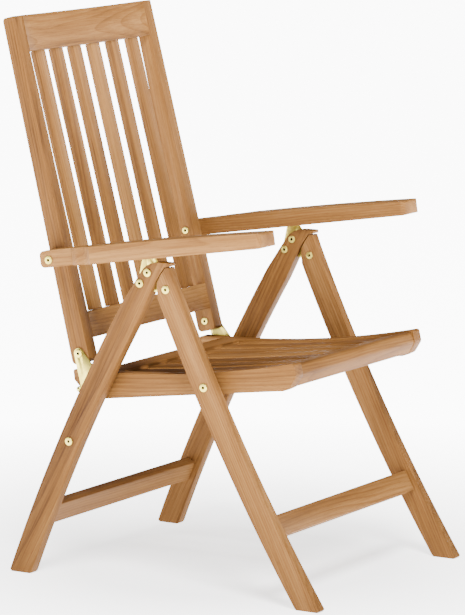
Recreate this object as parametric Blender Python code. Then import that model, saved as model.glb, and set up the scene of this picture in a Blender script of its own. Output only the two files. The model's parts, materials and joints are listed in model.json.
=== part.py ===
"""Folding reclining armchair: slatted hardwood frames that turn on brass bolts.

The side view is drawn in (Y, Z): Y runs towards the back of the chair, Z up, X across it.
Each frame is a pair of side members with cross pieces between them.  At the end the chair
is moved so that the middle of its footprint stands on the world origin.
"""
import math

import bmesh
import bpy
from mathutils import Matrix, Vector

# ---- clearances
GAP = 0.0003                   # air between neighbouring solids
HOLE_CLEARANCE = 0.0003        # added to a bolt's radius for its hole
KERF_CLEARANCE = 0.0003        # each side of the hinge plate in its slot

# ---- width of the chair, from its middle outwards
CLEAR_WIDTH = 0.436            # between the stiles of the back
STILE_THICKNESS = 0.030
SEAT_RAIL_THICKNESS = 0.028
BRASS_THICKNESS = 0.0025       # corner bracket and strap
HEAD_ROOM = 0.0084             # between corner bracket and strap, for the bolt heads
LEG_THICKNESS = 0.022
ARM_OVERHANG = 0.027           # wide part of the arm beyond the leg's outer face

# ---- pivots in the side view
FRONT_HINGE = Vector((-0.0118, 0.5777))
PLATE_UPPER = Vector((0.0285, 0.6070))
PLATE_LOWER = Vector((0.0453, 0.5854))
SEAT_PIVOT = Vector((-0.0948, 0.3997))
STRAP_PIVOT = Vector((0.2042, 0.2682))
STRAP_PIN = Vector((0.1870, 0.3695))
BACK_PIVOT = Vector((0.2035, 0.4334))
TONGUE_TOP = Vector((0.0315, 0.6285))

# ---- legs and stretchers
REAR_LEG_HEAD = Vector((0.0619, 0.5391))
REAR_LEG_FOOT = Vector((0.3164, 0.0026))
REAR_LEG_BOW = 0.0116
REAR_LEG_WIDTH = 0.0462
FRONT_LEG_HEAD = Vector((-0.0071, 0.5843))
FRONT_LEG_FOOT = Vector((-0.3060, 0.0222))
FRONT_LEG_BOW = 0.0127
REAR_LEG_FRONT_TOP = 0.528     # height where the curved edge meets the shaped head
REAR_LEG_BACK_TOP = 0.545
FRONT_LEG_WIDTH = 0.0438
FRONT_LEG_FRONT_TOP = 0.590
FRONT_LEG_BACK_TOP = 0.560
REAR_LEG = (REAR_LEG_HEAD, REAR_LEG_FOOT, REAR_LEG_BOW)
FRONT_LEG = (FRONT_LEG_HEAD, FRONT_LEG_FOOT, FRONT_LEG_BOW)
FOOT_CHAMFER = 0.004
STRETCHER_HEIGHT = 0.042
STRETCHER_THICKNESS = 0.022
REAR_STRETCHER_Z = 0.118
FRONT_STRETCHER_Z = 0.143

# ---- back
BACK_LEAN = math.radians(14.2)
BACK_TOP = 0.655               # from the back pivot to the top of the back
STILE_TAIL = 0.020             # below the back pivot
STILE_DEPTH_BOTTOM = 0.040
STILE_DEPTH_TOP = 0.026
TOP_RAIL_HEIGHT = 0.070
BOTTOM_RAIL_START = 0.024
BOTTOM_RAIL_HEIGHT = 0.051
BACK_RAIL_THICKNESS = 0.021
BACK_RAIL_HOLLOW = 0.009       # how far the middle of a rail lies behind its ends
BACK_SLAT_COUNT = 6
BACK_SLAT_WIDTH = 0.037
BACK_SLAT_THICKNESS = 0.011
BACK_SLAT_RECESS = 0.0062      # slat's front behind the rail's front

# ---- arms
ARM_PIVOT_UP = 0.1865          # from the back pivot along the stile
ARM_PITCH = math.radians(8.8)
ARM_FRONT = 0.484              # from the arm pivot to the front end
ARM_REAR = 0.0195              # from the arm pivot to the rear end
ARM_BELOW = 0.0142             # from the arm pivot down to the underside
ARM_DEPTH_REAR = 0.0320
ARM_DEPTH_FRONT = 0.0275
ARM_CROWN = 0.0035
ARM_NECK_END = 0.053           # from the arm pivot to the start of the widening
ARM_WIDE_START = 0.110         # from the arm pivot to the end of the widening
TRACK_START = 0.195            # from the arm pivot
TRACK_END = 0.356
TRACK_WIDTH = 0.024
TRACK_THICKNESS = 0.002
TRACK_SLOT_WIDTH = 0.0056
GROOVE_DEPTH = 0.019
PLATE_THICKNESS = 0.003

# ---- seat
RAIL_TOP_HOLLOW = 0.0145
RAIL_TOP_FRONT = Vector((-0.2660, 0.4550))
RAIL_TOP_REAR = Vector((0.2175, 0.4019))
FRONT_RAIL_BACK = -0.195
REAR_RAIL_FRONT = 0.125
REAR_RAIL_WIDTH = 0.041
REAR_RAIL_TOP = 0.4032
REAR_RAIL_HEIGHT = 0.026
SEAT_SLAT_COUNT = 6
SEAT_SLAT_WIDTH = 0.046
SEAT_SLAT_THICKNESS = 0.012
SEAT_SLAT_FRONT_Z = 0.4341     # top of a slat where it meets the front rail
SEAT_SLAT_REAR_Z = 0.3960      # top of a slat where it meets the rear rail
SEAT_SLAT_HOLLOW = 0.002

# ---- fittings
BOLT_RADIUS = 0.0040
HEAD_RADIUS = 0.0083
HEAD_THICKNESS = 0.0019
HEAD_CHAMFER_SHARE = 0.4       # of the head's thickness
SOCKET_RADIUS = 0.0031
SOCKET_DEPTH = 0.0015
NUT_RADIUS = 0.0074
BOLT_REACH = 0.020             # length of a bolt inside the last wooden part
PIN_RADIUS = 0.0032
PIN_BALL_RADIUS = 0.0058
STRAP_END_RADIUS = 0.0072
BRACKET_LUG_RADIUS = 0.0108
BRACKET_FOOT = Vector((0.1570, 0.3860))
BRACKET_FOOT_RADIUS = 0.006
HINGE_EYE_RADIUS = 0.012
PLATE_LOWER_RADIUS = 0.010
TONGUE_RADIUS = 0.0145
HINGE_SWEEP_REACH = 0.060      # beyond the edge of the front leg's head
HINGE_SWEEP_START = math.radians(-66)
HINGE_SWEEP_END = math.radians(78)
TRACK_END_WALL = 0.005

ROUND_STEPS = 18               # facets around a bolt
ARC_STEPS = 14                 # facets along a long curved edge
FAN_STEPS = 8                  # facets along a short curve

# ---- layers across the chair, worked out from the sizes above
BOLT_HOLE = BOLT_RADIUS + HOLE_CLEARANCE
HALF_KERF = PLATE_THICKNESS / 2 + KERF_CLEARANCE
STILE_INNER = CLEAR_WIDTH / 2
STILE_OUTER = STILE_INNER + STILE_THICKNESS
SEAT_RAIL_INNER = STILE_OUTER - SEAT_RAIL_THICKNESS
BRACKET_INNER = STILE_OUTER + GAP
BRACKET_OUTER = BRACKET_INNER + BRASS_THICKNESS
STRAP_INNER = BRACKET_OUTER + HEAD_ROOM
STRAP_OUTER = STRAP_INNER + BRASS_THICKNESS
LEG_INNER = STRAP_OUTER + GAP
LEG_OUTER = LEG_INNER + LEG_THICKNESS
LEG_MIDDLE = (LEG_INNER + LEG_OUTER) / 2
ARM_INNER = STILE_OUTER + 2 * GAP
ARM_OUTER = LEG_OUTER + ARM_OVERHANG

# ---- directions of the leaning back and of the arms
BACK_UP = Vector((math.sin(BACK_LEAN), math.cos(BACK_LEAN)))
BACK_REARWARD = Vector((math.cos(BACK_LEAN), -math.sin(BACK_LEAN)))
ARM_PIVOT = BACK_PIVOT + BACK_UP * ARM_PIVOT_UP
ARM_FORWARD = Vector((-math.cos(ARM_PITCH), math.sin(ARM_PITCH)))
ARM_UP = Vector((math.sin(ARM_PITCH), math.cos(ARM_PITCH)))

SIDES = {"left": 1, "right": -1}

TEAK = ("teak", (0.56, 0.33, 0.15, 1.0), 0.55, 0.0)
BRASS = ("brass", (0.83, 0.69, 0.36, 1.0), 0.30, 1.0)


# ---------------------------------------------------------------- outlines
def arc_centre(start, end, bow):
    """Centre and radius of the arc from start to end that bulges left by bow."""
    chord = end - start
    radius = (chord.length_squared / 4 + bow * bow) / (2 * bow)
    left = Vector((-chord.y, chord.x)).normalized()
    return (start + end) / 2 + left * (bow - radius), radius


def arc_points(start, end, bow, steps=ARC_STEPS):
    """Points from start to end along an arc that bulges left by bow, ends included."""
    sign = 1 if bow > 0 else -1
    if sign < 0:
        return list(reversed(arc_points(end, start, -bow, steps)))
    centre, radius = arc_centre(start, end, bow)
    first = math.atan2(start.y - centre.y, start.x - centre.x)
    last = math.atan2(end.y - centre.y, end.x - centre.x)
    turn = (last - first + math.pi) % (2 * math.pi) - math.pi
    angles = [first + turn * i / steps for i in range(steps + 1)]
    return [centre + Vector((math.cos(a), math.sin(a))) * radius for a in angles]


def circle_points(centre, radius, steps=ROUND_STEPS):
    angles = [2 * math.pi * i / steps for i in range(steps)]
    return [centre + Vector((math.cos(a), math.sin(a))) * radius for a in angles]


def rounded(corners, steps=5):
    """An outline from (point, radius) corners, each rounded by an arc of its radius."""
    outline = []
    for index, (corner, radius) in enumerate(corners):
        before = (corners[index - 1][0] - corner).normalized()
        after = (corners[(index + 1) % len(corners)][0] - corner).normalized()
        half = math.acos(max(-1.0, min(1.0, before.dot(after)))) / 2
        if radius <= 0 or half > math.radians(89):
            outline.append(corner)
            continue
        touch = radius / math.tan(half)
        centre = corner + (before + after).normalized() * radius / math.sin(half)
        start = corner + before * touch - centre
        end = corner + after * touch - centre
        turn = math.atan2(start.cross(end), start.dot(end))
        for step in range(steps + 1):
            outline.append(centre + Matrix.Rotation(turn * step / steps, 2) @ start)
    return outline


def hull(points):
    """The convex outline round the points."""
    ordered = sorted((p.x, p.y) for p in points)

    def chain(sequence):
        line = []
        for point in sequence:
            while len(line) > 1 and turns_right(line[-2], line[-1], point):
                line.pop()
            line.append(point)
        return line[:-1]

    return [Vector(p) for p in chain(ordered) + chain(reversed(ordered))]


def turns_right(a, b, c):
    return (b[0] - a[0]) * (c[1] - a[1]) - (b[1] - a[1]) * (c[0] - a[0]) <= 1e-12


def around(*circles):
    """The outline of a plate drawn round circles given as (centre, radius)."""
    points = []
    for centre, radius in circles:
        points += circle_points(centre, radius)
    return hull(points)


# ---------------------------------------------------------------- solids
def side_view(point, x=0.0):
    """The frame whose first axis is Y, second Z and third X, placed at x and a side-view point."""
    return Matrix(((0, 0, 1, x), (1, 0, 0, point.x), (0, 1, 0, point.y), (0, 0, 0, 1)))


def outward_view(point, x, side):
    """The frame whose third axis points outwards on its side of the chair."""
    return side_view(point, x) @ Matrix.Diagonal((1, side, side, 1))


def span(inner, outer, side):
    """The low and high X of a layer on one side of the chair."""
    return sorted((side * inner, side * outer))


def add_object(name, mesh_data, place, finish):
    mesh = bpy.data.meshes.new(name)
    bmesh.ops.recalc_face_normals(mesh_data, faces=mesh_data.faces)
    mesh_data.to_mesh(mesh)
    mesh_data.free()
    part = bpy.data.objects.new(name, mesh)
    part.matrix_world = place
    bpy.context.scene.collection.objects.link(part)
    mesh.materials.append(material(name, finish))
    return part


def material(name, finish):
    kind, colour, roughness, metallic = finish
    made = bpy.data.materials.new(f"{name}_{kind}")
    made.use_nodes = True
    shader = made.node_tree.nodes["Principled BSDF"]
    shader.inputs["Base Color"].default_value = colour
    shader.inputs["Roughness"].default_value = roughness
    shader.inputs["Metallic"].default_value = metallic
    return made


def prism_mesh(outline, low, high):
    """A closed prism: the outline in the first two axes, from low to high in the third."""
    mesh_data = bmesh.new()
    corners = [mesh_data.verts.new((p.x, p.y, low)) for p in outline]
    base = mesh_data.faces.new(corners)
    lifted = bmesh.ops.extrude_face_region(mesh_data, geom=[base])
    raised = [item for item in lifted["geom"] if isinstance(item, bmesh.types.BMVert)]
    bmesh.ops.translate(mesh_data, verts=raised, vec=(0, 0, high - low))
    return mesh_data


def prism(name, outline, low, high, place, finish):
    return add_object(name, prism_mesh(outline, low, high), place, finish)


def side_plate(name, outline, inner, outer, side, pivot, finish):
    """A prism drawn in the side view, with its origin on its pivot in its middle plane."""
    half = (outer - inner) / 2
    local = [p - pivot for p in outline]
    return prism(name, local, -half, half, side_view(pivot, side * (inner + half)), finish)


def turned_mesh(profile):
    """A solid of revolution about the third axis, from (radius, height) points."""
    mesh_data = bmesh.new()
    line = [mesh_data.verts.new((radius, 0, height)) for radius, height in profile]
    edges = [mesh_data.edges.new(pair) for pair in zip(line, line[1:])]
    bmesh.ops.spin(mesh_data, geom=line + edges, cent=(0, 0, 0), axis=(0, 0, 1),
                   angle=2 * math.pi, steps=ROUND_STEPS, use_merge=True)
    bmesh.ops.remove_doubles(mesh_data, verts=mesh_data.verts, dist=1e-6)
    return mesh_data


def cut(part, outline, low, high, place):
    """Cut a prism out of a part with a Boolean and apply it."""
    cutter = prism("cutter", outline, low, high, place, BRASS)
    subtract = part.modifiers.new("cut", "BOOLEAN")
    subtract.operation = "DIFFERENCE"
    subtract.solver = "EXACT"
    subtract.object = cutter
    bpy.context.view_layer.update()
    graph = bpy.context.evaluated_depsgraph_get()
    carved = bpy.data.meshes.new_from_object(part.evaluated_get(graph))
    part.modifiers.remove(subtract)
    part.data = carved
    bpy.data.objects.remove(cutter)


def cut_side(part, outline, inner, outer, side):
    low, high = span(inner, outer, side)
    cut(part, outline, low, high, side_view(Vector((0, 0))))


def drill(part, centre, radius, inner, outer, side):
    cut_side(part, circle_points(centre, radius), inner, outer, side)


def head_profile(radius, seat, direction):
    """The (radius, height) points of a bolt's head, from its seat to its crown."""
    rim = seat + direction * HEAD_THICKNESS * (1 - HEAD_CHAMFER_SHARE)
    crown = seat + direction * HEAD_THICKNESS
    return [(radius, seat), (radius, rim),
            (radius - HEAD_THICKNESS * HEAD_CHAMFER_SHARE, crown), (0, crown)]


def cut_socket(part, seat, direction, place):
    """The hexagon socket in the crown of a head."""
    floor = seat + direction * (HEAD_THICKNESS - SOCKET_DEPTH)
    mouth = seat + direction * 2 * HEAD_THICKNESS
    cut(part, circle_points(Vector((0, 0)), SOCKET_RADIUS, 6), *sorted((floor, mouth)), place)


def bolt(name, centre, head_face, tip, side, head_radius=HEAD_RADIUS):
    """A round-headed bolt: the head stands outside head_face and the shank ends at tip."""
    seat = head_face + GAP
    profile = [(0, tip - seat), (BOLT_RADIUS, tip - seat), (BOLT_RADIUS, 0)]
    profile += head_profile(head_radius, 0, 1)
    place = outward_view(centre, side * seat, side)
    part = add_object(name, turned_mesh(profile), place, BRASS)
    cut_socket(part, 0, 1, place)


def leg_bolt(name, centre, side):
    """A bolt through a leg with its nut as one solid: a head stands on either face."""
    length = LEG_THICKNESS + 2 * GAP
    profile = list(reversed(head_profile(NUT_RADIUS, -length, -1)))
    profile += [(BOLT_RADIUS, -length), (BOLT_RADIUS, 0)]
    profile += head_profile(HEAD_RADIUS, 0, 1)
    place = outward_view(centre, side * (LEG_OUTER + GAP), side)
    part = add_object(name, turned_mesh(profile), place, BRASS)
    cut_socket(part, 0, 1, place)
    cut_socket(part, -length, -1, place)


def sleeve_nut(name, centre, side):
    """The nut that enters a stile from its inner face and meets the tip of the bolt there."""
    bolt(name, centre, -STILE_INNER, GAP - BACK_BOLT_TIP, -side, NUT_RADIUS)


# ---------------------------------------------------------------- legs
def leg_edge(leg, offset, z):
    """The point at height z on a leg's edge, offset rearwards from its centre line."""
    centre, radius = arc_centre(*leg)
    reach = radius + offset
    return Vector((centre.x + math.sqrt(reach ** 2 - (z - centre.y) ** 2), z))


def leg_edges(leg, width, front_top, back_top):
    """Front edge from the top down to the floor, then back edge from the floor up."""
    def edge(offset, top):
        heights = [top * i / ARC_STEPS for i in range(1, ARC_STEPS + 1)]
        return [leg_edge(leg, offset, z) for z in heights]

    front = edge(-width / 2, front_top)
    back = edge(width / 2, back_top)
    toe = leg_edge(leg, -width / 2, FOOT_CHAMFER)
    heel = leg_edge(leg, width / 2, FOOT_CHAMFER)
    inset = Vector((FOOT_CHAMFER, -FOOT_CHAMFER))
    sole = [toe, toe + inset, heel - Vector((inset.x, -inset.y)), heel]
    return list(reversed(front)) + sole + back


def rear_leg_outline():
    head = [((0.0291, 0.6277), 0.044), ((-0.0195, 0.6277), 0.002), ((-0.0195, 0.6215), 0),
            ((-0.0080, 0.6192), 0.003), ((0.0016, 0.6060), 0), ((0.0118, 0.5905), 0),
            ((0.0232, 0.5655), 0.030)]
    edges = leg_edges(REAR_LEG, REAR_LEG_WIDTH, REAR_LEG_FRONT_TOP, REAR_LEG_BACK_TOP)
    corners = [(point, 0) for point in edges]
    return rounded(corners + [(Vector(point), radius) for point, radius in head])


def front_leg_outline():
    head = [((0.0080, 0.5885), 0.008), ((0.0000, 0.6045), 0.006), ((-0.0100, 0.6185), 0.002),
            ((-0.0170, 0.6190), 0.002)]
    edges = leg_edges(FRONT_LEG, FRONT_LEG_WIDTH, FRONT_LEG_FRONT_TOP, FRONT_LEG_BACK_TOP)
    corners = [(point, 0) for point in edges]
    return rounded(corners + [(Vector(point), radius) for point, radius in head])


def plate_outline(margin=0.0):
    """Hinge plate: one plate round the leg hinge, the lower bolt and the tongue."""
    return around((FRONT_HINGE, HINGE_EYE_RADIUS + margin),
                  (PLATE_LOWER, PLATE_LOWER_RADIUS + margin),
                  (TONGUE_TOP, TONGUE_RADIUS + margin))


def hinge_sweep():
    """The sector of the front leg's head that the hinge plate sweeps as the legs close."""
    turn = HINGE_SWEEP_END - HINGE_SWEEP_START
    angles = [HINGE_SWEEP_START + turn * i / FAN_STEPS for i in range(FAN_STEPS + 1)]
    fan = [FRONT_HINGE + Vector((math.cos(a), math.sin(a))) * HINGE_SWEEP_REACH for a in angles]
    hub = circle_points(FRONT_HINGE, HINGE_EYE_RADIUS + 2 * GAP)
    return hull(fan + hub)


def make_rear_leg(name, side):
    leg = side_plate(name, rear_leg_outline(), LEG_INNER, LEG_OUTER, side, REAR_LEG_HEAD, TEAK)
    cut_side(leg, plate_outline(GAP), LEG_MIDDLE - HALF_KERF, LEG_MIDDLE + HALF_KERF, side)
    for centre in (PLATE_UPPER, PLATE_LOWER, STRAP_PIVOT):
        drill(leg, centre, BOLT_HOLE, LEG_INNER - GAP, LEG_OUTER + GAP, side)


def make_front_leg(name, side):
    leg = side_plate(name, front_leg_outline(), LEG_INNER, LEG_OUTER, side, FRONT_HINGE, TEAK)
    cut_side(leg, hinge_sweep(), LEG_MIDDLE - HALF_KERF, LEG_MIDDLE + HALF_KERF, side)
    for centre in (FRONT_HINGE, SEAT_PIVOT):
        drill(leg, centre, BOLT_HOLE, LEG_INNER - GAP, LEG_OUTER + GAP, side)


def make_hinge_plate(name, side):
    inner = LEG_MIDDLE - PLATE_THICKNESS / 2
    outer = LEG_MIDDLE + PLATE_THICKNESS / 2
    plate = side_plate(name, plate_outline(), inner, outer, side, PLATE_LOWER, BRASS)
    for centre in (FRONT_HINGE, PLATE_UPPER, PLATE_LOWER):
        drill(plate, centre, BOLT_HOLE, inner - GAP, outer + GAP, side)


def make_stretcher(name, leg, z):
    """A flat bar between a pair of legs, leaning as the legs lean there."""
    centre, _ = arc_centre(*leg)
    middle = leg_edge(leg, 0, z)
    across = (middle - centre).normalized()
    along = Vector((-across.y, across.x))
    half_a, half_b = STRETCHER_THICKNESS / 2, STRETCHER_HEIGHT / 2
    signs = ((-1, -1), (1, -1), (1, 1), (-1, 1))
    outline = [across * half_a * a + along * half_b * b for a, b in signs]
    reach = LEG_INNER - GAP
    prism(name, outline, -reach, reach, side_view(middle), TEAK)


# ---------------------------------------------------------------- back
def on_back(rearward, up):
    return BACK_PIVOT + BACK_REARWARD * rearward + BACK_UP * up


def stile_half_depth(up):
    share = (up + STILE_TAIL) / (BACK_TOP + STILE_TAIL)
    return (STILE_DEPTH_BOTTOM + (STILE_DEPTH_TOP - STILE_DEPTH_BOTTOM) * share) / 2


def make_stile(name, side):
    low, high = stile_half_depth(-STILE_TAIL), stile_half_depth(BACK_TOP)
    corners = [(on_back(-low, -STILE_TAIL), 0.009), (on_back(low, -STILE_TAIL), 0.009),
               (on_back(high, BACK_TOP), 0.007), (on_back(-high, BACK_TOP), 0.003)]
    stile = side_plate(name, rounded(corners), STILE_INNER, STILE_OUTER, side, BACK_PIVOT, TEAK)
    for centre in (BACK_PIVOT, ARM_PIVOT):
        drill(stile, centre, BOLT_HOLE, STILE_INNER - GAP, STILE_OUTER + GAP, side)


def rail_hollow(x):
    """How far a back rail lies behind its ends at x."""
    return BACK_RAIL_HOLLOW * (1 - (x / STILE_INNER) ** 2)


def back_frame(rearward, up, turn=0.0):
    """The frame whose axes are X, rearward and up the back, placed on the back."""
    point = on_back(rearward, up)
    axes = Matrix(((1, 0, 0, 0), (0, BACK_REARWARD.x, BACK_UP.x, point.x),
                   (0, BACK_REARWARD.y, BACK_UP.y, point.y), (0, 0, 0, 1)))
    return axes @ Matrix.Rotation(turn, 4, "X")


def make_back_rail(name, low, high):
    """A rail hollowed towards the sitter, level with the front of the stiles at its ends."""
    front = -stile_half_depth(low)
    reach = STILE_INNER - GAP
    xs = [reach * (2 * i / ARC_STEPS - 1) for i in range(ARC_STEPS + 1)]
    near = [Vector((x, rail_hollow(x))) for x in xs]
    far = [Vector((x, rail_hollow(x) + BACK_RAIL_THICKNESS)) for x in reversed(xs)]
    prism(name, near + far, 0, high - low, back_frame(front, low), TEAK)


def make_back_slat(name, x):
    """A flat slat from the bottom rail to the top rail, following the rails' hollow."""
    low = BOTTOM_RAIL_START + BOTTOM_RAIL_HEIGHT + GAP
    high = BACK_TOP - TOP_RAIL_HEIGHT - GAP
    inset = rail_hollow(x) + BACK_SLAT_RECESS
    start = inset - stile_half_depth(BOTTOM_RAIL_START)
    end = inset - stile_half_depth(BACK_TOP - TOP_RAIL_HEIGHT)
    tilt = -math.atan2(end - start, high - low)
    half = BACK_SLAT_WIDTH / 2
    outline = [Vector((x - half, 0)), Vector((x + half, 0)),
               Vector((x + half, BACK_SLAT_THICKNESS)), Vector((x - half, BACK_SLAT_THICKNESS))]
    end_slack = abs(math.sin(tilt)) * BACK_SLAT_THICKNESS
    place = back_frame(start, low + end_slack, tilt)
    prism(name, outline, 0, high - low - 2 * end_slack, place, TEAK)


def spread(count, width, clear):
    """Middles of equally spaced slats across a clear width."""
    space = (clear - count * width) / (count + 1)
    return [-clear / 2 + space + width / 2 + i * (width + space) for i in range(count)]


# ---------------------------------------------------------------- arms
def on_arm(forward, up):
    """A point measured from the arm pivot: forward along the arm and up from its underside."""
    return ARM_PIVOT + ARM_FORWARD * forward + ARM_UP * (up - ARM_BELOW)


def make_arm(name, side):
    """The arm's side outline, then its plan shape cut from the outer side."""
    rear_top, front_top = on_arm(-ARM_REAR, ARM_DEPTH_REAR), on_arm(ARM_FRONT, ARM_DEPTH_FRONT)
    crown = arc_points(rear_top, front_top, -ARM_CROWN)
    corners = [(on_arm(ARM_FRONT, 0), 0.004), (on_arm(-ARM_REAR, 0), 0.009)]
    corners += [(crown[0], 0.009)] + [(point, 0) for point in crown[1:-1]] + [(crown[-1], 0.005)]
    arm = side_plate(name, rounded(corners), ARM_INNER, ARM_OUTER, side, ARM_PIVOT, TEAK)
    for outline in (neck_cut(), front_corner_cut(ARM_INNER, 1), front_corner_cut(ARM_OUTER, -1)):
        plan = [Vector((p.y, side * p.x)) for p in outline]
        cut(arm, plan, -2 * ARM_DEPTH_REAR, 2 * ARM_DEPTH_REAR, arm_plan_view())
    drill(arm, ARM_PIVOT, BOLT_HOLE, ARM_INNER - GAP, LEG_OUTER + GAP, side)
    cut_track_seat(arm, side)
    tongue_groove = [on_arm(TRACK_START, -GAP), on_arm(TRACK_END, -GAP),
                     on_arm(TRACK_END, GROOVE_DEPTH), on_arm(TRACK_START, GROOVE_DEPTH)]
    half = TRACK_SLOT_WIDTH / 2
    cut_side(arm, tongue_groove, LEG_MIDDLE - half, LEG_MIDDLE + half, side)


def arm_plan_view():
    """The frame whose axes are forward along the arm, X, and up from the arm."""
    return Matrix(((0, 1, 0, 0), (ARM_FORWARD.x, 0, ARM_UP.x, ARM_PIVOT.x),
                   (ARM_FORWARD.y, 0, ARM_UP.y, ARM_PIVOT.y), (0, 0, 0, 1)))


def neck_cut():
    """Plan outline, as (outward, forward), that narrows the arm beside the stile."""
    beyond = ARM_OUTER + 0.01
    middle = Vector(((LEG_OUTER + ARM_OUTER) / 2, (ARM_NECK_END + ARM_WIDE_START) / 2))
    start, end = Vector((LEG_OUTER, ARM_NECK_END)), Vector((ARM_OUTER, ARM_WIDE_START))
    ease = (end - start).length / 16
    lower = arc_points(start, middle, -ease, 6)
    upper = arc_points(middle, end, ease, 6)
    rear = -ARM_REAR - 0.01
    curve = [Vector((LEG_OUTER, rear))] + lower + upper[1:]
    return curve + [Vector((beyond, end.y)), Vector((beyond, rear))]


def front_corner_cut(edge, inward, radius=0.010):
    """Plan outline, as (outward, forward), that rounds one front corner of the arm."""
    centre = Vector((edge + inward * radius, ARM_FRONT - radius))
    angles = [math.pi / 2 * i / 6 for i in range(7)]
    arc = [centre + Vector((-inward * math.cos(a), math.sin(a))) * radius for a in angles]
    outside = Vector((edge - inward * 0.01, ARM_FRONT + 0.01))
    first = Vector((outside.x, arc[0].y))
    last = Vector((arc[-1].x, outside.y))
    return [first] + arc + [last, outside]


def cut_track_seat(arm, side):
    """The shallow recess for the track plate in the arm's underside."""
    start, end, top = TRACK_START - GAP, TRACK_END + GAP, TRACK_THICKNESS + GAP
    seat = [on_arm(start, -GAP), on_arm(end, -GAP), on_arm(end, top), on_arm(start, top)]
    half = TRACK_WIDTH / 2 + GAP
    cut_side(arm, seat, LEG_MIDDLE - half, LEG_MIDDLE + half, side)


def make_track_plate(name, side):
    outline = [on_arm(TRACK_START, 0), on_arm(TRACK_END, 0),
               on_arm(TRACK_END, TRACK_THICKNESS), on_arm(TRACK_START, TRACK_THICKNESS)]
    half = TRACK_WIDTH / 2
    plate = side_plate(name, outline, LEG_MIDDLE - half, LEG_MIDDLE + half, side, ARM_PIVOT, BRASS)
    start, end, top = TRACK_START + TRACK_END_WALL, TRACK_END - TRACK_END_WALL, 2 * TRACK_THICKNESS
    slot = [on_arm(start, -GAP), on_arm(end, -GAP), on_arm(end, top), on_arm(start, top)]
    half_slot = TRACK_SLOT_WIDTH / 2
    cut_side(plate, slot, LEG_MIDDLE - half_slot, LEG_MIDDLE + half_slot, side)


# ---------------------------------------------------------------- seat
def make_seat_side_rail(name, side):
    top = arc_points(RAIL_TOP_FRONT, RAIL_TOP_REAR, -RAIL_TOP_HOLLOW)
    corners = [(top[0], 0.005)] + [(point, 0) for point in top[1:-1]] + [(top[-1], 0.004)]
    below = [((0.2145, 0.3815), 0.004), ((0.1780, 0.3468), 0.012), ((-0.2286, 0.3996), 0),
             ((-0.2450, 0.4015), 0.006), ((-0.2580, 0.4080), 0.010), ((-0.2720, 0.4310), 0.010)]
    corners += [(Vector(point), radius) for point, radius in below]
    rail = side_plate(name, rounded(corners), SEAT_RAIL_INNER, STILE_OUTER, side, SEAT_PIVOT, TEAK)
    drill(rail, SEAT_PIVOT, BOLT_HOLE, SEAT_BOLT_TIP - GAP, STILE_OUTER + GAP, side)


def make_seat_front_rail(name):
    corners = [((FRONT_RAIL_BACK, SEAT_SLAT_FRONT_Z), 0), ((-0.2620, 0.4520), 0.010),
               ((-0.2710, 0.4310), 0.010), ((-0.2580, 0.4085), 0.008), ((-0.2450, 0.4040), 0),
               ((FRONT_RAIL_BACK, 0.4040), 0)]
    outline = rounded([(Vector(point), radius) for point, radius in corners])
    reach = SEAT_RAIL_INNER - GAP
    prism(name, outline, -reach, reach, side_view(Vector((0, 0))), TEAK)


def make_seat_rear_rail(name):
    rear = REAR_RAIL_FRONT + REAR_RAIL_WIDTH
    bottom = REAR_RAIL_TOP - REAR_RAIL_HEIGHT
    corners = [((REAR_RAIL_FRONT, bottom), 0), ((rear, bottom), 0), ((rear, REAR_RAIL_TOP), 0.003),
               ((REAR_RAIL_FRONT, REAR_RAIL_TOP), 0.003)]
    outline = rounded([(Vector(point), radius) for point, radius in corners])
    reach = SEAT_RAIL_INNER - GAP
    prism(name, outline, -reach, reach, side_view(Vector((0, 0))), TEAK)


def make_seat_slat(name, x):
    front = Vector((FRONT_RAIL_BACK + GAP, SEAT_SLAT_FRONT_Z))
    rear = Vector((REAR_RAIL_FRONT - GAP, SEAT_SLAT_REAR_Z))
    top = arc_points(front, rear, -SEAT_SLAT_HOLLOW, 8)
    down = Vector((0, -SEAT_SLAT_THICKNESS))
    outline = top + [point + down for point in reversed(top)]
    half = SEAT_SLAT_WIDTH / 2
    prism(name, outline, x - half, x + half, side_view(Vector((0, 0))), TEAK)


# ---------------------------------------------------------------- brass side fittings
def make_bracket(name, side):
    """Corner bracket that joins the seat's tail to the foot of the stile."""
    outline = around((BACK_PIVOT, BRACKET_LUG_RADIUS), (STRAP_PIN, BRACKET_LUG_RADIUS),
                     (BRACKET_FOOT, BRACKET_FOOT_RADIUS))
    bracket = side_plate(name, outline, BRACKET_INNER, BRACKET_OUTER, side, BACK_PIVOT, BRASS)
    drill(bracket, BACK_PIVOT, BOLT_HOLE, BRACKET_INNER - GAP, BRACKET_OUTER + GAP, side)


def make_strap(name, side):
    outline = around((STRAP_PIVOT, STRAP_END_RADIUS), (STRAP_PIN, STRAP_END_RADIUS))
    strap = side_plate(name, outline, STRAP_INNER, STRAP_OUTER, side, STRAP_PIVOT, BRASS)
    drill(strap, STRAP_PIVOT, BOLT_HOLE, STRAP_INNER - GAP, STRAP_OUTER + GAP, side)
    drill(strap, STRAP_PIN, PIN_RADIUS + HOLE_CLEARANCE, STRAP_INNER - GAP, STRAP_OUTER + GAP, side)


def make_strap_pin(name, side):
    """A pin with a ball end: it runs out through the strap from just clear of the bolt heads."""
    start = BRACKET_OUTER + HEAD_THICKNESS + 3 * GAP
    ball = LEG_MIDDLE - start
    neck = math.asin(PIN_RADIUS / PIN_BALL_RADIUS)
    angles = [math.pi - neck - (math.pi - neck) * i / FAN_STEPS for i in range(FAN_STEPS + 1)]
    profile = [(0, 0), (PIN_RADIUS, 0)]
    for angle in angles[:-1]:
        height = ball + PIN_BALL_RADIUS * math.cos(angle)
        profile.append((PIN_BALL_RADIUS * math.sin(angle), height))
    profile.append((0, ball + PIN_BALL_RADIUS))
    add_object(name, turned_mesh(profile), outward_view(STRAP_PIN, side * start, side), BRASS)


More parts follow.
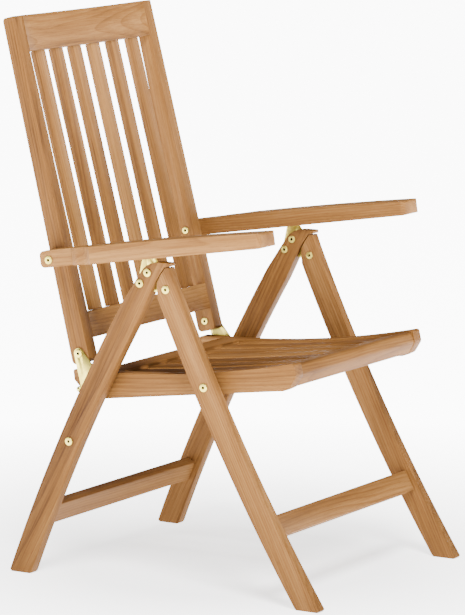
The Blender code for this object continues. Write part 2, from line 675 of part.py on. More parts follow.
# ---- how deep the bolts reach
BACK_BOLT_TIP = STILE_OUTER - BOLT_REACH
SEAT_BOLT_TIP = STILE_OUTER - BOLT_REACH
BOLTS = {
    "arm_pivot_bolt": (ARM_PIVOT, LEG_OUTER, BACK_BOLT_TIP),
    "back_pivot_bolt": (BACK_PIVOT, BRACKET_OUTER, BACK_BOLT_TIP),
    "seat_pivot_bolt": (SEAT_PIVOT, LEG_OUTER, SEAT_BOLT_TIP),
    "strap_bolt": (STRAP_PIVOT, LEG_OUTER, STRAP_INNER),
}
LEG_BOLTS = {
    "leg_hinge_bolt": FRONT_HINGE,
    "plate_upper_bolt": PLATE_UPPER,
    "plate_lower_bolt": PLATE_LOWER,
}
NUTS = {
    "arm_pivot_nut": ARM_PIVOT,
    "back_pivot_nut": BACK_PIVOT,
}
SIDE_PARTS = {
    "rear_leg": make_rear_leg,
    "front_leg": make_front_leg,
    "hinge_plate": make_hinge_plate,
    "track_plate": make_track_plate,
    "arm": make_arm,
    "back_stile": make_stile,
    "seat_side_rail": make_seat_side_rail,
    "corner_bracket": make_bracket,
    "seat_strap": make_strap,
    "strap_pin": make_strap_pin,
}


def stand_on_origin(parts):
    """Move the chair so that the middle of its footprint is at the origin."""
    bpy.context.view_layer.update()
    corners = [part.matrix_world @ vertex.co for part in parts for vertex in part.data.vertices]
    low = [min(point[axis] for point in corners) for axis in range(3)]
    high = [max(point[axis] for point in corners) for axis in range(3)]
    shift = Vector((-(low[0] + high[0]) / 2, -(low[1] + high[1]) / 2, -low[2]))
    for part in parts:
        part.location += shift


def main():
    for leftover in list(bpy.data.objects):
        bpy.data.objects.remove(leftover)
    for side_name, side in SIDES.items():
        for name, make in SIDE_PARTS.items():
            make(f"{name}_{side_name}", side)
        for name, (centre, head_face, tip) in BOLTS.items():
            bolt(f"{name}_{side_name}", centre, head_face, tip, side)
        for name, centre in LEG_BOLTS.items():
            leg_bolt(f"{name}_{side_name}", centre, side)
        for name, centre in NUTS.items():
            sleeve_nut(f"{name}_{side_name}", centre, side)
    make_stretcher("rear_stretcher", REAR_LEG, REAR_STRETCHER_Z)
    make_stretcher("front_stretcher", FRONT_LEG, FRONT_STRETCHER_Z)
    make_back_rail("back_top_rail", BACK_TOP - TOP_RAIL_HEIGHT, BACK_TOP)
    make_back_rail("back_bottom_rail", BOTTOM_RAIL_START, BOTTOM_RAIL_START + BOTTOM_RAIL_HEIGHT)
    for index, x in enumerate(spread(BACK_SLAT_COUNT, BACK_SLAT_WIDTH, CLEAR_WIDTH), 1):
        make_back_slat(f"back_slat_{index}", x)
    make_seat_front_rail("seat_front_rail")
    make_seat_rear_rail("seat_rear_rail")
    for index, x in enumerate(spread(SEAT_SLAT_COUNT, SEAT_SLAT_WIDTH, 2 * SEAT_RAIL_INNER), 1):
        make_seat_slat(f"seat_slat_{index}", x)
    stand_on_origin(list(bpy.data.objects))


main()
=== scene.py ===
"""Finishes a folding teak armchair on its frame: softened boards, turned brass and a studio."""
import json
import math
import random

import bmesh
import bpy
import numpy
from mathutils import Matrix, Vector


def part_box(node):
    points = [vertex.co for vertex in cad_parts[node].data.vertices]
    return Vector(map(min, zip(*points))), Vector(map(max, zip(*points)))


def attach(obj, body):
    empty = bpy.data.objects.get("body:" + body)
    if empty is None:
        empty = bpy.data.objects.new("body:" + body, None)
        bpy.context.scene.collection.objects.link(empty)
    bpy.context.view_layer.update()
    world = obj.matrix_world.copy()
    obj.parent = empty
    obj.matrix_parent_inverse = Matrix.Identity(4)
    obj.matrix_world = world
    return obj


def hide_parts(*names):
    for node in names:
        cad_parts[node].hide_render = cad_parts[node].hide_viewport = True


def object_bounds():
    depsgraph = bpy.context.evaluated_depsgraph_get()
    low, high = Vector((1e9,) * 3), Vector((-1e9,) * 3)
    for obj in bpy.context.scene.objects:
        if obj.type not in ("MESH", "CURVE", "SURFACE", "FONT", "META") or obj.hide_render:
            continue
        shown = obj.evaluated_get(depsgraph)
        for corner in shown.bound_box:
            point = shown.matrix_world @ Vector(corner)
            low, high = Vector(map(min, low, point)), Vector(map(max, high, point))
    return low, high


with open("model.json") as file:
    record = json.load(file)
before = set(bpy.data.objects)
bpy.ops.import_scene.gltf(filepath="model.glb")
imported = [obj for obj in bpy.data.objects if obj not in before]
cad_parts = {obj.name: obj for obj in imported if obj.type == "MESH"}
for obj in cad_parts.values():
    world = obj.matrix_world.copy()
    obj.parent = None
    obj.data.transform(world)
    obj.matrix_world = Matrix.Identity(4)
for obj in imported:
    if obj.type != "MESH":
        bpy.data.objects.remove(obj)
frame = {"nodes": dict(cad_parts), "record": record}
CAD_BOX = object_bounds()

bl_info = {
    "name": "Folding Teak Armchair",
    "version": (1, 0, 0),
    "blender": (4, 5, 0),
    "location": "3D View > Sidebar > Armchair",
    "description": "Models the boards, brass fittings and studio of a folding teak armchair",
    "category": "Add Mesh",
}

SIDES = ("left", "right")
BODIES = frame["record"]["behaviour"]["bodies"]
BODY_OF = {node: body for body, nodes in BODIES.items() for node in nodes}

# Boards whose ends are free and softened all round, and boards that butt against others.
FREE_BOARDS = ("rear_leg", "front_leg", "arm", "back_stile", "seat_side_rail")
CROSS_BOARDS = ("rear_stretcher", "front_stretcher", "back_top_rail", "back_bottom_rail",
                "seat_front_rail", "seat_rear_rail")
SLAT_COUNT = 6
PLATES = ("hinge_plate", "track_plate", "corner_bracket", "seat_strap")
BOLTS = ("arm_pivot_bolt", "back_pivot_bolt", "seat_pivot_bolt", "strap_bolt")
LEG_BOLTS = ("leg_hinge_bolt", "plate_upper_bolt", "plate_lower_bolt")
NUTS = ("arm_pivot_nut", "back_pivot_nut")

# Each board's log has its own number, which seeds its grain.
SIDE_BOARD_LOGS, CROSS_BOARD_LOGS, BACK_SLAT_LOGS, SEAT_SLAT_LOGS = 10, 40, 60, 80

# Cleaning the boards' and plates' meshes before their edges are softened.
MERGE_DISTANCE = 0.00001
FLAT_ANGLE = math.radians(0.1)
SHARP_ANGLE = math.radians(35)
ALONG_GRAIN = 0.5               # how far an edge must run along the board to be softened
BOARD_SMOOTH_ANGLE = math.radians(32)

# Turned brass.
HEAD_SIDES = 40
FACING = 0.9                    # how squarely a face must look across the chair
RIM_TOLERANCE = 0.1             # shares of the head's thickness
RIM_SHARE = 0.45
RIM_SEGMENTS = 3
BOLT_SMOOTH_ANGLE = math.radians(30)
SOCKET_SIDES = 6
SOCKET_REACH = 1.02             # shares of the socket's radius and depth that hold the faces given painted shade
SOCKET_FLOOR = 1.05
CROWN_TOLERANCE = 0.00001
BALL_SEGMENTS, BALL_RINGS = 32, 20
PIN_OPENING_SHARE = 0.95
PIN_SMOOTH_ANGLE = math.radians(40)

# Grain: repeats per metre along the board and then across it both ways.
WANDER_REPEATS, WANDER_REACH, WANDER_DETAIL = (1.6, 9.0, 9.0), (0.0, 0.030, 0.030), 2.0
BROAD_REPEATS, BROAD_SHARE = (1.0, 22.0, 22.0), 1.25
FIBRE_REPEATS, FIBRE_SHARE, FIBRE_ROUGHNESS = (9.0, 420.0, 420.0), 0.75, 0.65
PORE_REPEATS, PORE_AMOUNT, PORE_RELIEF = (70.0, 1500.0, 1500.0), 0.8, 0.6
PORE_STOPS = ((0.30, (0.62, 0.55, 0.50)), (0.40, (1.0, 1.0, 1.0)))
RING_WIDTHS, RING_SHARE = (0.0042, 0.0070), 0.42
RING_STOPS = ((0.0, 0.62), (0.45, 0.58), (0.86, 0.30), (0.95, 0.16), (1.0, 0.60))
LOG_ALONG, LOG_RADIUS, LOG_ASIDE = (0, 5), (0.045, 0.11), (-0.03, 0.03)
LEAN_DEGREES = (0.3, 1.6)
MIDDLE_TONE, TONE_SPREAD = 0.56, 0.10
MIDDLE_STOP = 0.52
WOOD_ROUGHNESS, WOOD_SPECULAR = (0.46, 0.68), 0.08
WOOD_RELIEF_STRENGTH, WOOD_RELIEF_DEPTH = 0.35, 0.0003

# Brass, and the painted shade in its sockets.
PATCH_REPEATS = (60.0, 60.0, 60.0)
BRUSH_REPEATS = (500.0, 2600.0, 260.0)
PATCH_STOPS = (0.30, 0.62)
BRASS_ROUGHNESS = (0.40, 0.22)
BRUSH_STRENGTH, BRUSH_DEPTH = 0.12, 0.0001
# Near-black colour painted on the socket walls and floor as their shade; its roughness and specular go
# with it.
SOCKET_PAINTED_SHADE, SOCKET_ROUGHNESS, SOCKET_SPECULAR = (0.012, 0.009, 0.004, 1.0), 0.7, 0.1


class ArmchairSizes(bpy.types.PropertyGroup):
    """Sizes of the softened edges and of the turned brass."""
    board_edge: bpy.props.FloatProperty(
        name="Board edge", description="Radius of the softened edges of legs, arms and rails",
        default=0.0016, min=0.0002, unit="LENGTH")
    slat_edge: bpy.props.FloatProperty(
        name="Slat edge", description="Radius of the softened edges of the slats",
        default=0.0014, min=0.0002, unit="LENGTH")
    plate_edge: bpy.props.FloatProperty(
        name="Plate edge", description="Radius of the edges of the brass plates",
        default=0.0004, min=0.0001, unit="LENGTH")
    shank_radius: bpy.props.FloatProperty(
        name="Shank radius", description="Radius of a bolt's shank",
        default=0.004, min=0.001, unit="LENGTH")
    head_thickness: bpy.props.FloatProperty(
        name="Head thickness", description="Thickness of a bolt's head",
        default=0.0019, min=0.0005, unit="LENGTH")
    nut_radius: bpy.props.FloatProperty(
        name="Nut radius", description="Radius of the nut's head on a leg's inner face",
        default=0.0074, min=0.002, unit="LENGTH")
    socket_depth: bpy.props.FloatProperty(
        name="Socket depth", description="Depth of the hexagon socket in a bolt's head",
        default=0.0035, min=0.0005, unit="LENGTH")
    socket_radius: bpy.props.FloatProperty(
        name="Socket radius", description="Half the width across the corners of the hexagon socket",
        default=0.0031, min=0.001, unit="LENGTH")
    pin_radius: bpy.props.FloatProperty(
        name="Pin radius", description="Radius of the strap pin's shank",
        default=0.0032, min=0.001, unit="LENGTH")


class ArmchairColours(bpy.types.PropertyGroup):
    """Colours of the wood and the brass."""
    wood_light: bpy.props.FloatVectorProperty(
        name="Light wood", description="Colour of the early growth", subtype="COLOR",
        default=(0.270, 0.134, 0.042), min=0, max=1)
    wood_middle: bpy.props.FloatVectorProperty(
        name="Middle wood", description="Main colour of the boards", subtype="COLOR",
        default=(0.150, 0.064, 0.0155), min=0, max=1)
    wood_dark: bpy.props.FloatVectorProperty(
        name="Dark wood", description="Colour of the late growth and the dark streaks",
        subtype="COLOR", default=(0.030, 0.0095, 0.0022), min=0, max=1)
    brass_bright: bpy.props.FloatVectorProperty(
        name="Bright brass", description="Main colour of the fittings", subtype="COLOR",
        default=(0.60, 0.49, 0.11), min=0, max=1)
    brass_dull: bpy.props.FloatVectorProperty(
        name="Dull brass", description="Colour of the handled patches of the fittings",
        subtype="COLOR", default=(0.40, 0.31, 0.06), min=0, max=1)


# ---------------------------------------------------------------- working with meshes
def select_only(piece):
    bpy.ops.object.select_all(action="DESELECT")
    piece.select_set(True)
    bpy.context.view_layer.objects.active = piece


def edit(piece):
    """Enter edit mode on one piece with nothing selected."""
    select_only(piece)
    bpy.ops.object.mode_set(mode="EDIT")
    bpy.ops.mesh.select_all(action="DESELECT")


def leave_edit():
    bpy.ops.object.mode_set(mode="OBJECT")


def choose(piece, kind, test):
    """Select the faces, edges or verts of the edited mesh that pass a test."""
    bpy.ops.mesh.select_mode(type={"faces": "FACE", "edges": "EDGE", "verts": "VERT"}[kind])
    mesh = bmesh.from_edit_mesh(piece.data)
    for element in getattr(mesh, kind):
        element.select_set(bool(test(element)))
    mesh.select_flush_mode()
    bmesh.update_edit_mesh(piece.data)


def middle(node):
    low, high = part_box(node)
    return (low + high) / 2


def long_axis(node):
    """The direction in which a board is longest, which is the direction of its grain."""
    points = numpy.array([vertex.co for vertex in frame["nodes"][node].data.vertices])
    _, directions = numpy.linalg.eigh(numpy.cov(points.T))
    return Vector(directions[:, -1])


def softened_copy(node, radius, free_ends, segments=3):
    """Copy a node, merge its triangles into whole faces and round its sharp edges."""
    piece = bpy.data.objects.new(f"{node}_finished", frame["nodes"][node].data.copy())
    bpy.context.scene.collection.objects.link(piece)
    piece.data.materials.clear()
    along = long_axis(node)
    edit(piece)
    bpy.ops.mesh.select_all(action="SELECT")
    bpy.ops.mesh.remove_doubles(threshold=MERGE_DISTANCE)
    bpy.ops.mesh.dissolve_limited(angle_limit=FLAT_ANGLE)
    bpy.ops.mesh.normals_make_consistent(inside=False)

    def is_soft_edge(edge):
        if len(edge.link_faces) != 2 or edge.calc_face_angle() < SHARP_ANGLE:
            return False
        direction = (edge.verts[1].co - edge.verts[0].co).normalized()
        return free_ends or abs(direction.dot(along)) > ALONG_GRAIN

    bpy.ops.mesh.faces_shade_smooth()
    choose(piece, "edges", is_soft_edge)
    bpy.ops.mesh.bevel(offset=radius, segments=segments, profile=0.5, clamp_overlap=True,
                       harden_normals=True)
    leave_edit()
    bpy.ops.object.shade_smooth_by_angle(angle=BOARD_SMOOTH_ANGLE)
    return piece


def fit(piece, node, finish):
    """Put a finished piece in its node's place on its node's body."""
    piece.data.materials.append(finish)
    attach(piece, BODY_OF[node])
    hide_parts(node)


# ---------------------------------------------------------------- materials
class Nodes:
    """Adds shader nodes to a material and links them as it goes."""

    def __init__(self, name):
        self.material = bpy.data.materials.new(name)
        self.material.use_nodes = True
        self.tree = self.material.node_tree
        self.shader = self.tree.nodes["Principled BSDF"]

    def add(self, kind, inputs=(), **settings):
        node = self.tree.nodes.new(kind)
        for key, value in settings.items():
            setattr(node, key, value)
        for key, value in dict(inputs).items():
            if isinstance(value, bpy.types.NodeSocket):
                self.tree.links.new(value, node.inputs[key])
            else:
                node.inputs[key].default_value = value
        return node.outputs[0]

    def math(self, operation, first, second):
        return self.add("ShaderNodeMath", {0: first, 1: second}, operation=operation)

    def vector(self, operation, first, second):
        return self.add("ShaderNodeVectorMath", {0: first, 1: second}, operation=operation)

    def length(self, vector):
        node = self.tree.nodes.new("ShaderNodeVectorMath")
        node.operation = "LENGTH"
        self.tree.links.new(vector, node.inputs[0])
        return node.outputs["Value"]

    def place(self):
        """Where a point lies in the piece's own axes."""
        return self.tree.nodes.new("ShaderNodeTexCoord").outputs["Object"]

    def spread(self, value, low, high):
        """A value from 0 to 1 spread over a range."""
        return self.add("ShaderNodeMapRange", {"Value": value, "To Min": low, "To Max": high})

    def relief(self, height, strength, depth):
        self.shade("Normal", self.add("ShaderNodeBump", {"Height": height, "Strength": strength,
                                                         "Distance": depth}))

    def noise(self, place, stretch, detail=3.0, roughness=0.55):
        """Noise whose cells are stretched by a vector of repeats per metre."""
        scaled = self.vector("MULTIPLY", place, stretch)
        return self.add("ShaderNodeTexNoise",
                        {"Vector": scaled, "Scale": 1.0, "Detail": detail, "Roughness": roughness})

    def ramp(self, factor, stops):
        node = self.tree.nodes.new("ShaderNodeValToRGB")
        self.tree.links.new(factor, node.inputs["Fac"])
        elements = node.color_ramp.elements
        while len(elements) < len(stops):
            elements.new(0.5)
        for element, (position, colour) in zip(elements, stops):
            element.position = position
            element.color = (*colour, 1.0)
        return node.outputs["Color"]

    def multiply(self, colour, shade, amount):
        """A colour darkened by another by some amount."""
        node = self.tree.nodes.new("ShaderNodeMix")
        node.data_type = "RGBA"
        node.blend_type = "MULTIPLY"
        node.inputs["Factor"].default_value = amount
        self.tree.links.new(colour, node.inputs[6])
        self.tree.links.new(shade, node.inputs[7])
        return node.outputs[2]

    def shade(self, socket, value):
        if isinstance(value, bpy.types.NodeSocket):
            self.tree.links.new(value, self.shader.inputs[socket])
        else:
            self.shader.inputs[socket].default_value = value


def grain_turn(along, rng):
    """The rotation from the chair to a board: X runs up the log that it was sawn from."""
    helper = Vector((0, 0, 1)) if abs(along.z) < 0.9 else Vector((0, 1, 0))
    across = along.cross(helper).normalized()
    board = Matrix((along, across, along.cross(across)))
    lean = Matrix.Rotation(math.radians(rng.uniform(*LEAN_DEGREES)), 3, "Z")
    roll = Matrix.Rotation(rng.uniform(0, 2 * math.pi), 3, "X")
    return lean @ roll @ board


def wander(nodes, place):
    """How far the rings stray from true circles at each place."""
    noise = nodes.tree.nodes.new("ShaderNodeTexNoise")
    nodes.tree.links.new(nodes.vector("MULTIPLY", place, WANDER_REPEATS), noise.inputs["Vector"])
    noise.inputs["Scale"].default_value = 1.0
    noise.inputs["Detail"].default_value = WANDER_DETAIL
    centred = nodes.vector("SUBTRACT", noise.outputs["Color"], (0.5, 0.5, 0.5))
    return nodes.vector("MULTIPLY", centred, WANDER_REACH)


def growth_rings(nodes, place, ring_width):
    """The tone of the growth rings round the log's middle line."""
    bent = nodes.vector("MULTIPLY", nodes.vector("ADD", place, wander(nodes, place)), (0.0, 1.0, 1.0))
    rings = nodes.math("FRACT", nodes.math("DIVIDE", nodes.length(bent), ring_width), 0.0)
    return nodes.ramp(rings, [(position, (tone,) * 3) for position, tone in RING_STOPS])


def weighted(nodes, pattern, share):
    return nodes.math("MULTIPLY", nodes.math("SUBTRACT", pattern, 0.5), share)


def teak(node, number):
    """Teak for one board: growth rings of its own log, broad streaks, fibres and pores."""
    colours = bpy.context.scene.armchair_colours
    rng = random.Random(number)
    turn = grain_turn(long_axis(node), rng)
    log_offset = Vector((rng.uniform(*LOG_ALONG), rng.uniform(*LOG_RADIUS), rng.uniform(*LOG_ASIDE)))
    nodes = Nodes(f"teak_{node}")
    place = nodes.add("ShaderNodeMapping", {"Vector": nodes.place(), "Rotation": turn.to_euler(),
                                            "Location": log_offset - turn @ middle(node)})
    rings = growth_rings(nodes, place, rng.uniform(*RING_WIDTHS))
    broad = nodes.noise(place, BROAD_REPEATS, 3.0)
    fibre = nodes.noise(place, FIBRE_REPEATS, 4.0, FIBRE_ROUGHNESS)
    pores = nodes.noise(place, PORE_REPEATS, 2.0)
    tone = nodes.math("ADD", weighted(nodes, rings, RING_SHARE), weighted(nodes, broad, BROAD_SHARE))
    tone = nodes.math("ADD", tone, weighted(nodes, fibre, FIBRE_SHARE))
    tone = nodes.math("ADD", tone, MIDDLE_TONE + rng.uniform(-TONE_SPREAD, TONE_SPREAD))
    colour = nodes.ramp(tone, [(0.0, colours.wood_dark), (MIDDLE_STOP, colours.wood_middle),
                               (1.0, colours.wood_light)])
    nodes.shade("Base Color", nodes.multiply(colour, nodes.ramp(pores, PORE_STOPS), PORE_AMOUNT))
    nodes.shade("Roughness", nodes.spread(fibre, *WOOD_ROUGHNESS))
    height = nodes.math("ADD", fibre, nodes.math("MULTIPLY", pores, PORE_RELIEF))
    nodes.relief(height, WOOD_RELIEF_STRENGTH, WOOD_RELIEF_DEPTH)
    nodes.shade("Specular IOR Level", WOOD_SPECULAR)
    return nodes.material


def brass():
    """Lightly brushed brass with duller handled patches."""
    colours = bpy.context.scene.armchair_colours
    nodes = Nodes("brushed_brass")
    place = nodes.place()
    patches = nodes.noise(place, PATCH_REPEATS)
    brushed = nodes.noise(place, BRUSH_REPEATS)
    nodes.shade("Base Color", nodes.ramp(patches, list(zip(PATCH_STOPS, (colours.brass_dull,
                                                                         colours.brass_bright)))))
    nodes.shade("Metallic", 1.0)
    nodes.shade("Roughness", nodes.spread(patches, *BRASS_ROUGHNESS))
    nodes.relief(brushed, BRUSH_STRENGTH, BRUSH_DEPTH)
    return nodes.material


def painted_socket_shade():
    """Near-black painted shade for the walls and floor of a bolt's socket."""
    made = bpy.data.materials.get("socket_shade")
    if made is None:
        nodes = Nodes("socket_shade")
        nodes.shade("Base Color", SOCKET_PAINTED_SHADE)
        nodes.shade("Roughness", SOCKET_ROUGHNESS)
        nodes.shade("Specular IOR Level", SOCKET_SPECULAR)
        made = nodes.material
    return made


def brass_finish():
    return bpy.data.materials.get("brushed_brass") or brass()


# ---------------------------------------------------------------- boards
def finish_board(node, radius, free_ends, number):
    piece = softened_copy(node, radius, free_ends)
    fit(piece, node, teak(node, number))


class ARMCHAIR_OT_side_boards(bpy.types.Operator):
    """Model the legs, arms, stiles and seat side rails with softened edges all round"""
    bl_idname = "armchair.side_boards"
    bl_label = "Side Boards"

    def execute(self, context):
        sizes = context.scene.armchair_sizes
        for index, name in enumerate(FREE_BOARDS):
            for side_index, side in enumerate(SIDES):
                number = SIDE_BOARD_LOGS + len(SIDES) * index + side_index
                finish_board(f"{name}_{side}", sizes.board_edge, True, number)
        return {"FINISHED"}


class ARMCHAIR_OT_cross_boards(bpy.types.Operator):
    """Model the rails and stretchers, whose ends butt against the side boards"""
    bl_idname = "armchair.cross_boards"
    bl_label = "Cross Boards"

    def execute(self, context):
        sizes = context.scene.armchair_sizes
        for index, name in enumerate(CROSS_BOARDS):
            finish_board(name, sizes.board_edge, False, CROSS_BOARD_LOGS + index)
        return {"FINISHED"}


class ARMCHAIR_OT_slats(bpy.types.Operator):
    """Model the slats of the back and of the seat"""
    bl_idname = "armchair.slats"
    bl_label = "Slats"

    def execute(self, context):
        sizes = context.scene.armchair_sizes
        for index in range(1, SLAT_COUNT + 1):
            finish_board(f"back_slat_{index}", sizes.slat_edge, False, BACK_SLAT_LOGS + index)
            finish_board(f"seat_slat_{index}", sizes.slat_edge, False, SEAT_SLAT_LOGS + index)
        return {"FINISHED"}


# ---------------------------------------------------------------- brass
class ARMCHAIR_OT_plates(bpy.types.Operator):
    """Model the hinge plates, track plates, corner brackets and straps"""
    bl_idname = "armchair.plates"
    bl_label = "Brass Plates"

    def execute(self, context):
        sizes = context.scene.armchair_sizes
        for name in PLATES:
            for side in SIDES:
                node = f"{name}_{side}"
                piece = softened_copy(node, sizes.plate_edge, True, 2)
                fit(piece, node, brass_finish())
        return {"FINISHED"}


def outward(node):
    return 1 if middle(node).x > 0 else -1


def cylinder_across(name, radius, depth, centre, vertices):
    """A cylinder whose axis runs across the chair, its place kept in its mesh."""
    bpy.ops.object.select_all(action="DESELECT")
    bpy.ops.mesh.primitive_cylinder_add(vertices=vertices, radius=radius, depth=depth,
                                        location=centre, rotation=(0, math.pi / 2, 0))
    piece = bpy.context.active_object
    piece.name = name
    bpy.ops.object.transform_apply(location=True, rotation=True, scale=True)
    return piece


def round_rim(bolt, crown, thick):
    """Round the rim of the head whose crown lies at X = crown, on a bolt in edit mode."""
    near = thick * RIM_TOLERANCE
    choose(bolt, "edges", lambda edge: all(abs(vert.co.x - crown) < near for vert in edge.verts))
    bpy.ops.mesh.bevel(offset=thick * RIM_SHARE, segments=RIM_SEGMENTS, profile=0.5)


def model_head_and_shank(node, side, sizes):
    """A head whose crown faces a side, its shank, and the X of the crown and of the far end."""
    low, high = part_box(node)
    outer = high.x if side > 0 else low.x
    inner = low.x if side > 0 else high.x
    radius = (high.z - low.z) / 2
    thick = sizes.head_thickness
    centre = Vector((outer - side * thick / 2, (low.y + high.y) / 2, (low.z + high.z) / 2))
    bolt = cylinder_across(f"{node}_turned", radius, thick, centre, HEAD_SIDES)
    edit(bolt)
    choose(bolt, "faces", lambda face: face.normal.x * side < -FACING)
    bpy.ops.mesh.inset(thickness=radius - sizes.shank_radius)
    back = outer - side * thick
    bpy.ops.mesh.extrude_region_move(TRANSFORM_OT_translate={"value": (inner - back, 0, 0)})
    round_rim(bolt, outer, thick)
    leave_edit()
    return bolt, outer, inner


def model_bolt(node, side, sizes):
    """A domed head with a hexagon socket facing a side, and a shank drawn out of its back."""
    bolt, outer, _ = model_head_and_shank(node, side, sizes)
    cut_socket(bolt, node, outer, sizes)
    select_only(bolt)
    bpy.ops.object.shade_smooth_by_angle(angle=BOLT_SMOOTH_ANGLE)
    return bolt


def model_leg_bolt(node, side, sizes):
    """A bolt through a leg, whose shank ends in the head of its nut."""
    bolt, outer, inner = model_head_and_shank(node, side, sizes)
    thick = sizes.head_thickness
    edit(bolt)
    choose(bolt, "faces", lambda face: face.normal.x * side < -FACING
           and abs(face.calc_center_median().x - inner) < thick * RIM_TOLERANCE)
    bpy.ops.transform.translate(value=(side * thick, 0, 0))
    bpy.ops.mesh.extrude_region_move()
    wider = sizes.nut_radius / sizes.shank_radius
    bpy.ops.transform.resize(value=(1, wider, wider))
    bpy.ops.mesh.extrude_region_move(TRANSFORM_OT_translate={"value": (-side * thick, 0, 0)})
    round_rim(bolt, inner, thick)
    leave_edit()
    cut_socket(bolt, node, outer, sizes)
    cut_socket(bolt, node, inner, sizes)
    select_only(bolt)
    bpy.ops.object.shade_smooth_by_angle(angle=BOLT_SMOOTH_ANGLE)
    return bolt


def cut_socket(bolt, node, crown, sizes):
    """Cut the hexagon socket in the head whose crown lies at X = crown."""
    centre = middle(node)
    mouth = Vector((crown, centre.y, centre.z))
    carve(bolt, cylinder_across("socket_cutter", sizes.socket_radius, 2 * sizes.socket_depth,
                                mouth, SOCKET_SIDES))


def carve(piece, cutter):
    """Cut one piece out of another, and remove the cutter."""
    select_only(piece)
    modifier = piece.modifiers.new("carve", "BOOLEAN")
    modifier.operation = "DIFFERENCE"
    modifier.solver = "EXACT"
    modifier.object = cutter
    bpy.ops.object.modifier_apply(modifier=modifier.name)
    bpy.data.objects.remove(cutter)


def paint_socket_shade(bolt, node, sizes):
    """Paint shade on the walls and floor of the sockets with the near-black socket material."""
    centre = middle(node)
    across = [corner[0] for corner in bolt.bound_box]
    ends = (min(across), max(across))
    reach = sizes.socket_radius * SOCKET_REACH
    floor = sizes.socket_depth * SOCKET_FLOOR
    bolt.data.materials.append(painted_socket_shade())
    edit(bolt)

    def is_in_socket(face):
        if any(math.hypot(vert.co.y - centre.y, vert.co.z - centre.z) > reach for vert in face.verts):
            return False
        deep = max(min(abs(vert.co.x - end) for end in ends) for vert in face.verts)
        return CROWN_TOLERANCE < deep < floor

    # The faces inside the sockets get the painted shade.
    choose(bolt, "faces", is_in_socket)
    bolt.active_material_index = 1
    bpy.ops.object.material_slot_assign()
    leave_edit()


class ARMCHAIR_OT_bolts(bpy.types.Operator):
    """Turn the bolts and nuts of all the pivots"""
    bl_idname = "armchair.bolts"
    bl_label = "Bolts"

    def execute(self, context):
        sizes = context.scene.armchair_sizes
        for name in BOLTS + NUTS + LEG_BOLTS:
            model = model_leg_bolt if name in LEG_BOLTS else model_bolt
            for side in SIDES:
                node = f"{name}_{side}"
                facing = -outward(node) if name in NUTS else outward(node)
                piece = model(node, facing, sizes)
                fit(piece, node, brass_finish())
                # Paint shade into the bolt's sockets with a near-black material.
                paint_socket_shade(piece, node, sizes)
        return {"FINISHED"}


def model_pin(node, sizes):
    """A ball end with its shank drawn out of the ball towards the bracket."""
    low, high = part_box(node)
    side = outward(node)
    radius = (high.z - low.z) / 2
    outer = high.x if side > 0 else low.x
    inner = low.x if side > 0 else high.x
    ball = Vector((outer - side * radius, (low.y + high.y) / 2, (low.z + high.z) / 2))
    bpy.ops.object.select_all(action="DESELECT")
    bpy.ops.mesh.primitive_uv_sphere_add(segments=BALL_SEGMENTS, ring_count=BALL_RINGS, radius=radius,
                                         location=ball, rotation=(0, side * math.pi / 2, 0))
    pin = bpy.context.active_object
    pin.name = f"{node}_turned"
    bpy.ops.object.transform_apply(location=True, rotation=True, scale=True)
    edit(pin)
    opening = sizes.pin_radius * PIN_OPENING_SHARE

    def is_under_shank(face):
        offset = face.calc_center_median() - ball
        return offset.x * side < 0 and math.hypot(offset.y, offset.z) < opening

    choose(pin, "faces", is_under_shank)
    bpy.ops.mesh.delete(type="FACE")
    choose(pin, "edges", lambda edge: edge.is_boundary)
    rim = max((vert.co.x for vert in bmesh.from_edit_mesh(pin.data).verts if vert.select),
              key=lambda x: x * side)
    bpy.ops.mesh.extrude_region_move(TRANSFORM_OT_translate={"value": (inner - rim, 0, 0)})
    bpy.ops.mesh.edge_face_add()
    bpy.ops.mesh.select_all(action="SELECT")
    bpy.ops.mesh.normals_make_consistent(inside=False)
    leave_edit()
    bpy.ops.object.shade_smooth_by_angle(angle=PIN_SMOOTH_ANGLE)
    return pin


class ARMCHAIR_OT_pins(bpy.types.Operator):
    """Turn the ball-ended pins of the straps"""
    bl_idname = "armchair.pins"
    bl_label = "Strap Pins"

    def execute(self, context):
        sizes = context.scene.armchair_sizes
        for side in SIDES:
            node = f"strap_pin_{side}"
            fit(model_pin(node, sizes), node, brass_finish())
        return {"FINISHED"}


# ---------------------------------------------------------------- studio
CAMERA_AZIMUTH = math.radians(-58.03)
CAMERA_ELEVATION = math.radians(8.66)
CAMERA_DISTANCE = 7.673
CAMERA_AIM = Vector((0.0, 0.2163, 0.5))
CAMERA_LENS = 228.7
CAMERA_SHIFT = (0.1595, -0.0106)
FLOOR_SIZE = 60.0
FLOOR_COLOUR, FLOOR_ROUGHNESS = (0.93, 0.93, 0.93, 1.0), 0.9
WHITE = (1.0, 1.0, 1.0, 1.0)
PAINTED_SHADOW_CORE, PAINTED_SHADOW_EDGE = 0.3, 1.6     # distance from the chair's middle over which the floor brightens out of its painted shadow
PAINTED_SHADOW_GLOW, GLOW_FAR = 2.0, 10.0      # how strongly the floor glows at those two distances; the dimmer glow near the chair is painted shadow round its feet
WORLD_STRENGTH = 0.35
LIGHT_TARGET = Vector((0, 0, 0.5))
KEY_PLACE, KEY_SIZE, KEY_POWER = Vector((-2.2, -1.6, 4.2)), 1.6, 480
FILL_PLACE, FILL_SIZE, FILL_POWER = Vector((2.6, -3.0, 2.6)), 2.6, 20


def area_light(name, place, target, size, power):
    data = bpy.data.lights.new(name, "AREA")
    data.shape = "DISK"
    data.size = size
    data.energy = power
    light = bpy.data.objects.new(name, data)
    light.location = place
    light.rotation_euler = (target - place).to_track_quat("-Z", "Y").to_euler()
    bpy.context.scene.collection.objects.link(light)


class ARMCHAIR_OT_studio(bpy.types.Operator):
    """Lay the pale glowing floor with painted shadow round the chair, and set the soft lights and the
    camera
    """
    bl_idname = "armchair.studio"
    bl_label = "Studio"

    def execute(self, context):
        lay_floor()
        light_studio()
        place_camera()
        return {"FINISHED"}


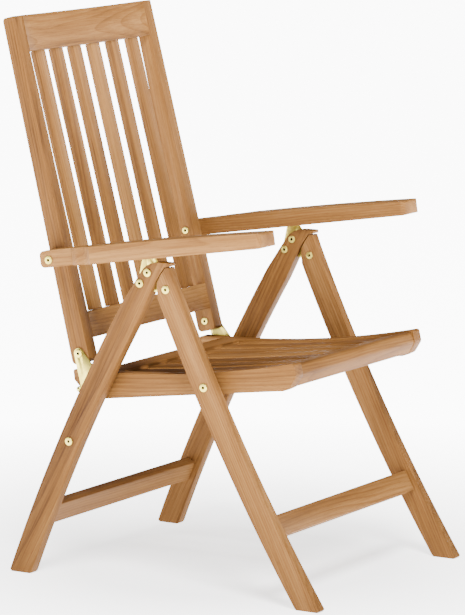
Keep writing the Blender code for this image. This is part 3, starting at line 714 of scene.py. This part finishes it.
def lay_floor():
    bpy.ops.object.select_all(action="DESELECT")
    bpy.ops.mesh.primitive_plane_add(size=FLOOR_SIZE, location=(0, 0, CAD_BOX[0][2]))
    floor = bpy.context.active_object
    floor.name = "studio_floor"
    nodes = Nodes("pale_floor")
    nodes.shade("Base Color", FLOOR_COLOUR)
    nodes.shade("Roughness", FLOOR_ROUGHNESS)
    nodes.shade("Emission Color", WHITE)
    # The floor glows, dimmer near the chair's middle: a painted shadow round the chair's feet.
    away = nodes.length(nodes.place())
    glow_with_painted_shadow = nodes.add("ShaderNodeMapRange", {"Value": away, "From Min": PAINTED_SHADOW_CORE, "From Max": PAINTED_SHADOW_EDGE,
                                            "To Min": PAINTED_SHADOW_GLOW, "To Max": GLOW_FAR})
    nodes.shade("Emission Strength", glow_with_painted_shadow)
    floor.data.materials.append(nodes.material)


def light_studio():
    world = bpy.data.worlds.new("studio_world")
    world.use_nodes = True
    background = world.node_tree.nodes["Background"]
    background.inputs["Color"].default_value = WHITE
    background.inputs["Strength"].default_value = WORLD_STRENGTH
    bpy.context.scene.world = world
    area_light("key_light", KEY_PLACE, LIGHT_TARGET, KEY_SIZE, KEY_POWER)
    area_light("fill_light", FILL_PLACE, LIGHT_TARGET, FILL_SIZE, FILL_POWER)


def place_camera():
    data = bpy.data.cameras.new("studio_camera")
    data.lens = CAMERA_LENS
    data.shift_x, data.shift_y = CAMERA_SHIFT
    camera = bpy.data.objects.new("studio_camera", data)
    back = Vector((math.sin(CAMERA_AZIMUTH) * math.cos(CAMERA_ELEVATION),
                   -math.cos(CAMERA_AZIMUTH) * math.cos(CAMERA_ELEVATION),
                   math.sin(CAMERA_ELEVATION)))
    camera.location = CAMERA_AIM + back * CAMERA_DISTANCE
    camera.rotation_euler = back.to_track_quat("Z", "Y").to_euler()
    bpy.context.scene.collection.objects.link(camera)
    bpy.context.scene.camera = camera


OPERATORS = (ARMCHAIR_OT_side_boards, ARMCHAIR_OT_cross_boards, ARMCHAIR_OT_slats,
             ARMCHAIR_OT_plates, ARMCHAIR_OT_bolts, ARMCHAIR_OT_pins, ARMCHAIR_OT_studio)


class ARMCHAIR_PT_panel(bpy.types.Panel):
    """Lists the chair's sizes, colours and steps"""
    bl_label = "Folding Armchair"
    bl_idname = "ARMCHAIR_PT_panel"
    bl_space_type = "VIEW_3D"
    bl_region_type = "UI"
    bl_category = "Armchair"

    def draw(self, context):
        for group in (context.scene.armchair_sizes, context.scene.armchair_colours):
            for name in group.__annotations__:
                self.layout.prop(group, name)
        for operator in OPERATORS:
            self.layout.operator(operator.bl_idname)


CLASSES = (ArmchairSizes, ArmchairColours, *OPERATORS, ARMCHAIR_PT_panel)


def register():
    for item in CLASSES:
        bpy.utils.register_class(item)
    bpy.types.Scene.armchair_sizes = bpy.props.PointerProperty(type=ArmchairSizes)
    bpy.types.Scene.armchair_colours = bpy.props.PointerProperty(type=ArmchairColours)


def unregister():
    del bpy.types.Scene.armchair_colours
    del bpy.types.Scene.armchair_sizes
    for item in reversed(CLASSES):
        bpy.utils.unregister_class(item)


def main():
    register()
    bpy.ops.armchair.side_boards()
    bpy.ops.armchair.cross_boards()
    bpy.ops.armchair.slats()
    bpy.ops.armchair.plates()
    bpy.ops.armchair.bolts()
    bpy.ops.armchair.pins()
    bpy.ops.armchair.studio()


if __name__ == "__main__":
    main()
